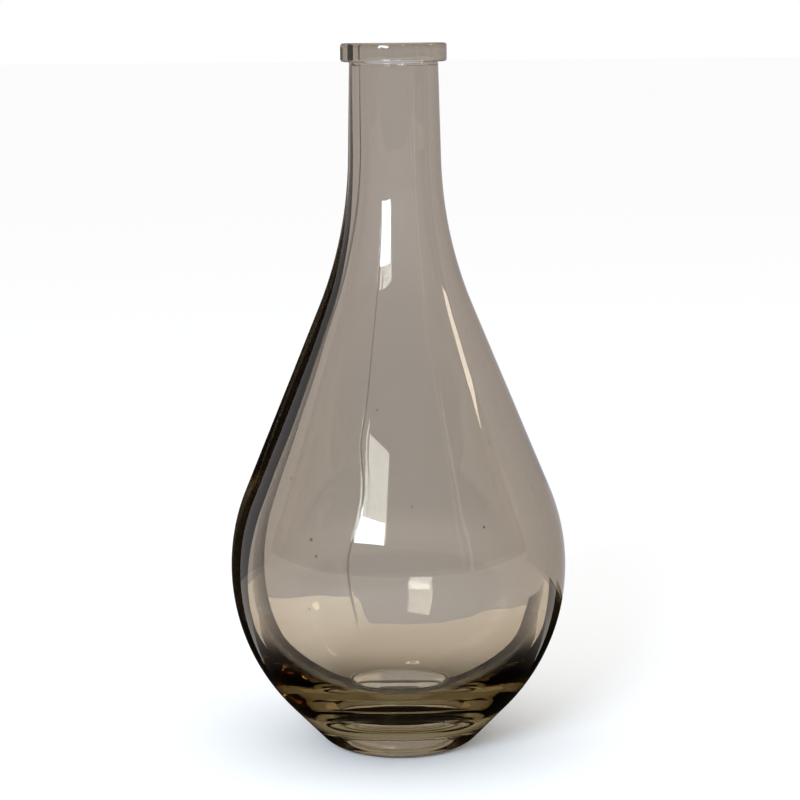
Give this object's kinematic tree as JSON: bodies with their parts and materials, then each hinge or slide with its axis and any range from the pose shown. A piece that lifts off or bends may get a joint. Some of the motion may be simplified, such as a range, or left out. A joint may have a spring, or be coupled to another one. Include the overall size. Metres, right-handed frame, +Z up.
{
  "type": "bottle vase",
  "caption": "Pear-shaped bottle vase of thick smoke-coloured glass with a slim neck, a flat lip ring at the mouth and a heavy base, for holding flower stems in water.",
  "frame": {"origin": "centre of the foot ring, on the surface that the vase stands on", "axes": "+Z up the axis of the vase, out of the mouth; the vase is round, so +X and +Y are free"},
  "size_m": [0.12, 0.12, 0.25],
  "materials": {
    "smoke_glass": "clear, glossy, slightly wavy"
  },
  "bodies": {
    "root": {"foot_ring": "smoke_glass", "base": "smoke_glass", "heel": "smoke_glass", "belly": "smoke_glass", "shoulder": "smoke_glass", "neck_root": "smoke_glass", "neck": "smoke_glass", "lip_ring": "smoke_glass"}
  },
  "joints": []
}
